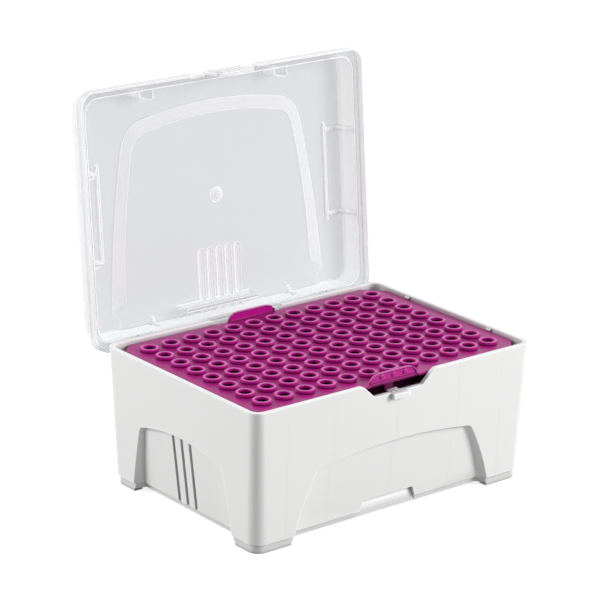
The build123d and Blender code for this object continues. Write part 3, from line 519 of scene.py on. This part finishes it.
class TIPBOX_OT_finish_tub(bpy.types.Operator):
    """Give the tub its satin white moulded skin"""
    bl_idname = "tipbox.finish_tub"
    bl_label = "Finish Tub"

    def execute(self, context):
        settings = context.scene.tipbox_tub
        material, board = new_material("White satin polypropylene")
        skin = board.group(moulded_skin_group(), {
            "Cloud scale": 30.0, "Cloud depth": 0.03, "Grain scale": 2600.0,
            "Roughness": settings.roughness, "Gloss variation": 0.08})
        shade = board.group(recess_shade_group(), {
            "Reach": 0.0022, "Closed": 0.35, "Open": 0.95, "Darkest": 0.55})["Tone"]
        tone = board.math("SUBTRACT", skin["Tone"], self.sink_line_shade(board, settings.rib_sink_shade))
        tone = board.math("MULTIPLY", tone, shade)
        tone = board.math("MULTIPLY", tone, self.painted_plinth_shade(board, settings))
        # painted highlight: the convex edges, outside the shaded recesses, are mixed toward the edge
        # highlight colour
        light = board.group(edge_light_group(), {"Radius": settings.light_reach})
        painted_edge_highlight = board.math("MULTIPLY", light["Edges"], board.ramp(shade, *HIGHLIGHT_TONES))
        rounded = board.add("ShaderNodeBevel", {"Radius": settings.edge_radius}, samples=8)
        bump = board.add("ShaderNodeBump", {
            "Strength": 0.05, "Distance": 0.0002, "Height": skin["Height"],
            "Normal": rounded.outputs["Normal"]})
        shader = board.add("ShaderNodeBsdfPrincipled", {
            "Base Color": board.toned(board.mix(painted_edge_highlight, settings.colour, settings.edge_highlight_colour), tone),
            "Roughness": skin["Roughness"], "Normal": bump.outputs["Normal"], "IOR": PLASTIC_IOR})
        board.add("ShaderNodeOutputMaterial", {"Surface": shader.outputs["BSDF"]})
        moulding("base", "tub_moulding", "base", material,
                 trim=lambda shape: self.trim(shape, settings))
        return {"FINISHED"}

    def sink_line_shade(self, board, depth):
        """Painted shade of the faint upright lines where the walls sink over the ribs behind them."""
        mask = 0.0
        for x in RIB_LINES:
            mask = board.group(rib_line_group(), {"X": x, "Mask in": mask})["Mask"]
        return board.math("MULTIPLY", mask, depth)

    def painted_plinth_shade(self, board, settings):
        """Tone of the painted shade on the feet and on the plinth between them, below the ledge."""
        ledge = settings.foot_height
        height = board.axes("Object")["Z"]
        return board.ramp(height, ledge - SOFT_EDGE, ledge + SOFT_EDGE, settings.painted_plinth_shade, 1.0)

    def trim(self, shape, settings):
        """Lower the ribs behind the front notch to its floor, and set the rib ends flush with the feet."""
        low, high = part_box("tip_tray")
        middle = (low + high) / 2
        for vert in shape.verts:
            place = vert.co
            behind_notch = low.y < place.y < low.y + settings.notch_rib_depth
            if behind_notch and abs(place.x - middle.x) < settings.notch_rib_reach:
                place.z = min(place.z, settings.notch_floor)
            if place.z > settings.foot_height + MERGE_DISTANCE:
                continue
            for across, along in ((0, 1), (1, 0)):
                beside = place[across] - middle[across]
                proud = abs(beside) - settings.foot_half[across]
                straight = settings.foot_half[along] - settings.foot_corner
                on_side = abs(place[along] - middle[along]) < straight
                if on_side and RIB_END_LOW < proud < RIB_END_HIGH:
                    place[across] -= copysign(proud, beside)


# ---------------------------------------------------------------- the tip tray
# columns and rows of holes
GRID = (("X", 12), ("Y", 8))
# depths below the plate's upper face at which its underside is darkest and starts to darken
UNDERSIDE_DEPTHS = (0.0015, 0.0011)
# the clip leg, which light reaches, ends this far behind the tray's front
LEG_REACH = 0.0025
# a bore's wall lies within this distance outside its radius, and the mask of it has this finer blur
BORE_MARGIN = 0.00025
FINE_EDGE = 0.00005
# depths below the lip at which a bore is darkest and starts to darken
BORE_DEPTHS = (0.0017, 0.0006)
# the shade at the foot of a wall climbs it this far, and the shade round a collar spreads this far
FOOT_SHADE_HEIGHT = 0.0008
RING_SHADE_WIDTH = 0.0012
# what lies under this height above the plate's upper face is plate, and no collar
PLATE_MARGIN = 0.00015
# the painted wall light starts this far below the plate's upper face
WALL_DEPTH = 0.001
# depths below the lip at which the painted lip highlight starts and is full
LIP_DEPTHS = (0.0005, 0.0001)
# upward share of the normal, up or down, at which a surface starts to be a wall and is one in full
UPRIGHT_LIMITS = (0.6, 0.3)
# upward share of the normal at which a surface starts to take the painted lip highlight and takes it in
# full
UPWARD_LIMITS = (0.2, 0.8)


class TIPBOX_OT_finish_tray(bpy.types.Operator):
    """Give the tip tray its glossy magenta skin"""
    bl_idname = "tipbox.finish_tray"
    bl_label = "Finish Tray"

    def execute(self, context):
        settings = context.scene.tipbox_tray
        material, board = new_material("Magenta gloss polypropylene")
        skin = board.group(moulded_skin_group(), {
            "Cloud scale": 60.0, "Cloud depth": 0.08, "Grain scale": 3000.0,
            "Roughness": settings.roughness, "Gloss variation": 0.1})
        shade = board.group(recess_shade_group(), {
            "Reach": 0.002, "Closed": 0.35, "Open": 0.85, "Darkest": 0.8})["Tone"]
        place = board.axes("Object")
        upward = board.axes("Normal")["Z"]
        upright = board.ramp(board.math("ABSOLUTE", upward), *UPRIGHT_LIMITS)
        # painted side light on the upright walls, then a painted highlight on the lips and tab tops
        colour = board.mix(
            self.painted_wall_light(board, place["Z"], upright, settings), settings.colour, settings.wall_light_colour)
        colour = board.mix(
            self.painted_lip_highlight(board, place["Z"], upward, settings), colour, settings.lip_highlight_colour)
        tone = board.math("MULTIPLY", skin["Tone"], shade)
        tone = board.math("MULTIPLY", tone, self.underside_tone(board, place, settings))
        tone = board.math("MULTIPLY", tone, self.collar_tone(board, place["Z"], upright, settings))
        bump = board.add("ShaderNodeBump", {
            "Strength": 0.06, "Distance": 0.0002, "Height": skin["Height"]})
        shader = board.add("ShaderNodeBsdfPrincipled", {
            "Base Color": board.toned(colour, tone), "Roughness": skin["Roughness"],
            "Normal": bump.outputs["Normal"], "IOR": PLASTIC_IOR, "Specular IOR Level": 0.3})
        board.add("ShaderNodeOutputMaterial", {"Surface": shader.outputs["BSDF"]})
        moulding("tip_tray", "tray_moulding", "base", material, settings.edge_radius)
        self.tab_bumps(material, settings)
        return {"FINISHED"}

    def painted_wall_light(self, board, height, upright, settings):
        """Mask of the upright walls of the collars and tabs, which take a brighter, deeper magenta as
        painted side light.
        """
        raised = board.ramp(height, settings.plate_top - WALL_DEPTH, settings.plate_top)
        return board.math("MULTIPLY", upright, raised)

    def painted_lip_highlight(self, board, height, upward, settings):
        """Mask of the painted highlight on the collars' lips and the tabs' top edges."""
        start, full = LIP_DEPTHS
        raised = board.ramp(height, settings.collar_top - start, settings.collar_top - full)
        return board.math("MULTIPLY", raised, board.ramp(upward, *UPWARD_LIMITS))

    def underside_tone(self, board, place, settings):
        """Tone that falls off under the plate, but not on the clip leg, which light reaches."""
        full, start = UNDERSIDE_DEPTHS
        under = board.ramp(place["Z"], settings.plate_top - full, settings.plate_top - start,
                           settings.underside_tone, 1.0)
        leg = board.below(place["Y"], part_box("tip_tray")[0].y + LEG_REACH, SOFT_EDGE)
        return board.math("MAXIMUM", under, leg)

    def collar_tone(self, board, height, upright, settings):
        """Tone that falls off down the bores, at the foot of each wall and on the plate by a collar."""
        distance = self.hole_distance(board, settings)
        full, start = BORE_DEPTHS
        inside = board.below(distance, settings.bore_radius + BORE_MARGIN, FINE_EDGE)
        deep = board.ramp(height, settings.collar_top - full, settings.collar_top - start,
                          settings.bore_shade, 0.0)
        low_down = board.ramp(height, settings.plate_top + FOOT_SHADE_HEIGHT, settings.plate_top,
                              0.0, settings.foot_shade)
        beside = board.ramp(distance, settings.collar_radius + RING_SHADE_WIDTH, settings.collar_radius,
                            0.0, settings.ring_shade)
        on_plate = board.below(height, settings.plate_top + PLATE_MARGIN, FINE_EDGE)
        tone = board.math("MULTIPLY", board.shaded(inside, deep), board.shaded(upright, low_down))
        return board.math("MULTIPLY", tone, board.shaded(on_plate, beside))

    def hole_distance(self, board, settings):
        """Distance from the middle of the nearest hole; large outside the grid."""
        low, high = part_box("tip_tray")
        middle = (low + high) / 2
        pitch = settings.hole_pitch
        half = pitch / 2
        place = board.add("ShaderNodeTexCoord").outputs["Object"]
        flat = board.vector("SUBTRACT", place, (middle.x, middle.y, 0.0))["Vector"]
        cell = board.vector("WRAP", flat, (0.0, 0.0, 0.0), (pitch, pitch, 1.0))["Vector"]
        offset = board.vector("SUBTRACT", cell, (half, half, 0.0))["Vector"]
        level = board.vector("MULTIPLY", offset, (1.0, 1.0, 0.0))["Vector"]
        distance = board.vector("LENGTH", level)["Value"]
        across = board.add("ShaderNodeSeparateXYZ", {"Vector": flat}).outputs
        for axis, count in GRID:
            outside = board.math("GREATER_THAN", board.math("ABSOLUTE", across[axis]), count * half)
            distance = board.math("ADD", distance, outside)
        return distance

    def tab_bumps(self, material, settings):
        """Full round grip bumps over the low ones on the front tab's outer face."""
        shape = bmesh.new()
        flattened = (1.0, settings.bump_rise / settings.bump_radius, 1.0)
        for index in (-1, 0, 1):
            made = bmesh.ops.create_uvsphere(
                shape, u_segments=24, v_segments=16, radius=settings.bump_radius)
            place = Vector(settings.bump_place) + Vector((index * settings.bump_pitch, 0.0, 0.0))
            bmesh.ops.scale(shape, verts=made["verts"], vec=flattened)
            bmesh.ops.translate(shape, verts=made["verts"], vec=place)
        for face in shape.faces:
            face.smooth = True
        bumps = add_object("tab_bumps", shape, material)
        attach(bumps, "base")


# ---------------------------------------------------------------- the lid
class TIPBOX_OT_finish_lid(bpy.types.Operator):
    """Give the lid its hazy clear plastic"""
    bl_idname = "tipbox.finish_lid"
    bl_label = "Finish Lid"

    def execute(self, context):
        settings = context.scene.tipbox_lid
        material, board = new_material("Clear natural polypropylene")
        skin = board.group(moulded_skin_group(), {
            "Cloud scale": 25.0, "Cloud depth": 0.02, "Grain scale": 1500.0,
            "Roughness": settings.roughness, "Gloss variation": 0.06})
        light = board.group(edge_light_group(), {"Radius": settings.edge_radius, "Axis": PANEL_AXIS})
        # painted highlight: edges, standing walls and the arch's slopes are mixed toward the whiter edge
        # highlight colour, and the edges are made more opaque
        walls = board.math("MULTIPLY", light["Walls"], settings.wall_paleness)
        slopes = board.math("MULTIPLY", light["Slopes"], settings.slope_paleness)
        pale = board.math("MAXIMUM", board.math("MAXIMUM", light["Edges"], walls), slopes)
        cover = board.math("MAXIMUM", light["Edges"], board.math("MULTIPLY", slopes, settings.slope_cover))
        colour = board.mix(pale, settings.colour, settings.edge_highlight_colour)
        shader = board.add("ShaderNodeBsdfPrincipled", {
            "Base Color": board.toned(colour, skin["Tone"]), "Roughness": skin["Roughness"],
            "Alpha": board.ramp(cover, 0.0, 1.0, settings.skin_cover, settings.edge_cover),
            "IOR": PLASTIC_IOR})
        board.add("ShaderNodeOutputMaterial", {"Surface": shader.outputs["BSDF"]})
        moulding("lid", "lid_moulding", "lid", material)
        return {"FINISHED"}


# ---------------------------------------------------------------- the studio
# each soft light's name, power setting, side length and place
LIGHTS = (
    ("Left light", "left_light", 0.6, (-0.84, 0.66, 0.42)),
    ("Right light", "right_light", 0.6, (0.68, -0.84, 0.42)),
    ("Top light", "top_light", 0.8, (0.0, 0.1, 1.2)),
)
WHITE = (1.0, 1.0, 1.0, 1.0)
FLOOR_RADIUS = 3.0
FLOOR_GAP = 0.0001
SENSOR_WIDTH = 36.0
CAMERA_NEAR = 0.05
CAMERA_FAR = 20.0


class TIPBOX_OT_set_stage(bpy.types.Operator):
    """Set up the floor, the soft lights, the white surround and the camera"""
    bl_idname = "tipbox.set_stage"
    bl_label = "Set Stage"

    def execute(self, context):
        settings = context.scene.tipbox_studio
        aim = Vector(settings.aim)
        self.lay_floor(settings)
        for name, power, side, place in LIGHTS:
            self.hang_light(name, getattr(settings, power), side, Vector(place), aim)
        self.set_world(context.scene, settings.surround)
        self.place_camera(context.scene, settings, aim)
        context.scene.view_settings.view_transform = "Standard"
        return {"FINISHED"}

    def lay_floor(self, settings):
        """Round floor just under the box, white where it is looked at and in shade under the box."""
        material, board = new_material("White floor")
        matte = board.add("ShaderNodeBsdfDiffuse", {"Color": settings.floor_colour})
        glow = board.add("ShaderNodeEmission", {
            "Color": WHITE, "Strength": board.math("MULTIPLY", board.seen(), settings.floor_glow)})
        both = board.add("ShaderNodeAddShader", {0: matte.outputs[0], 1: glow.outputs[0]})
        board.add("ShaderNodeOutputMaterial", {"Surface": both.outputs[0]})
        shape = bmesh.new()
        bmesh.ops.create_circle(shape, cap_ends=True, segments=96, radius=FLOOR_RADIUS)
        bmesh.ops.translate(shape, verts=shape.verts, vec=(0.0, 0.0, CAD_BOX[0][2] - FLOOR_GAP))
        add_object("Floor", shape, material)

    def hang_light(self, name, power, side, place, aim):
        """Square soft light, turned to the aim, which the glossy plastics don't mirror."""
        data = bpy.data.lights.new(name, "AREA")
        data.shape = "SQUARE"
        data.size = side
        data.energy = power
        light = bpy.data.objects.new(name, data)
        light.location = place
        light.rotation_euler = (place - aim).to_track_quat("Z", "Y").to_euler()
        light.visible_glossy = False
        bpy.context.scene.collection.objects.link(light)

    def set_world(self, scene, surround):
        """Even light from all round, and plain white where the surround is looked at."""
        world = bpy.data.worlds.new("White surround")
        scene.world = world
        world.use_nodes = True
        world.node_tree.nodes.clear()
        board = NodeBoard(world.node_tree)
        level = board.math("ADD", board.math("MULTIPLY", board.seen(), 1.0 - surround), surround)
        light = board.add("ShaderNodeBackground", {"Color": WHITE, "Strength": level})
        board.add("ShaderNodeOutputWorld", {"Surface": light.outputs[0]})

    def place_camera(self, scene, settings, aim):
        """Camera at its angles and distance from the aim."""
        azimuth, elevation = settings.azimuth, settings.elevation
        back = Vector((sin(azimuth) * cos(elevation), -cos(azimuth) * cos(elevation), sin(elevation)))
        data = bpy.data.cameras.new("Camera")
        data.lens = settings.lens
        data.sensor_width = SENSOR_WIDTH
        data.clip_start = CAMERA_NEAR
        data.clip_end = CAMERA_FAR
        camera = bpy.data.objects.new("Camera", data)
        turn = back.to_track_quat("Z", "Y").to_matrix().to_4x4() @ Matrix.Rotation(settings.roll, 4, "Z")
        camera.matrix_world = Matrix.Translation(aim + back * settings.distance) @ turn
        scene.collection.objects.link(camera)
        scene.camera = camera


# ---------------------------------------------------------------- the sidebar and the add-on
SETTINGS = {
    "tipbox_tub": TubSettings,
    "tipbox_tray": TraySettings,
    "tipbox_lid": LidSettings,
    "tipbox_studio": StudioSettings,
}
OPERATORS = (TIPBOX_OT_finish_tub, TIPBOX_OT_finish_tray, TIPBOX_OT_finish_lid, TIPBOX_OT_set_stage)


class TIPBOX_PT_panel(bpy.types.Panel):
    """Buttons for the box's finishes and its studio, with their settings"""
    bl_label = "Tip Box"
    bl_idname = "TIPBOX_PT_panel"
    bl_space_type = "VIEW_3D"
    bl_region_type = "UI"
    bl_category = "Tip Box"

    def draw(self, context):
        for operator in OPERATORS:
            self.layout.operator(operator.bl_idname)
        for name in SETTINGS:
            group = getattr(context.scene, name)
            for value in group.bl_rna.properties:
                if value.identifier not in ("rna_type", "name"):
                    self.layout.prop(group, value.identifier)


def register():
    for name, group in SETTINGS.items():
        bpy.utils.register_class(group)
        setattr(bpy.types.Scene, name, PointerProperty(type=group))
    for operator in OPERATORS:
        bpy.utils.register_class(operator)
    bpy.utils.register_class(TIPBOX_PT_panel)


def unregister():
    bpy.utils.unregister_class(TIPBOX_PT_panel)
    for operator in reversed(OPERATORS):
        bpy.utils.unregister_class(operator)
    for name, group in SETTINGS.items():
        delattr(bpy.types.Scene, name)
        bpy.utils.unregister_class(group)


def main():
    register()
    bpy.ops.tipbox.finish_tub()
    bpy.ops.tipbox.finish_tray()
    bpy.ops.tipbox.finish_lid()
    bpy.ops.tipbox.set_stage()


if __name__ == "__main__":
    main()
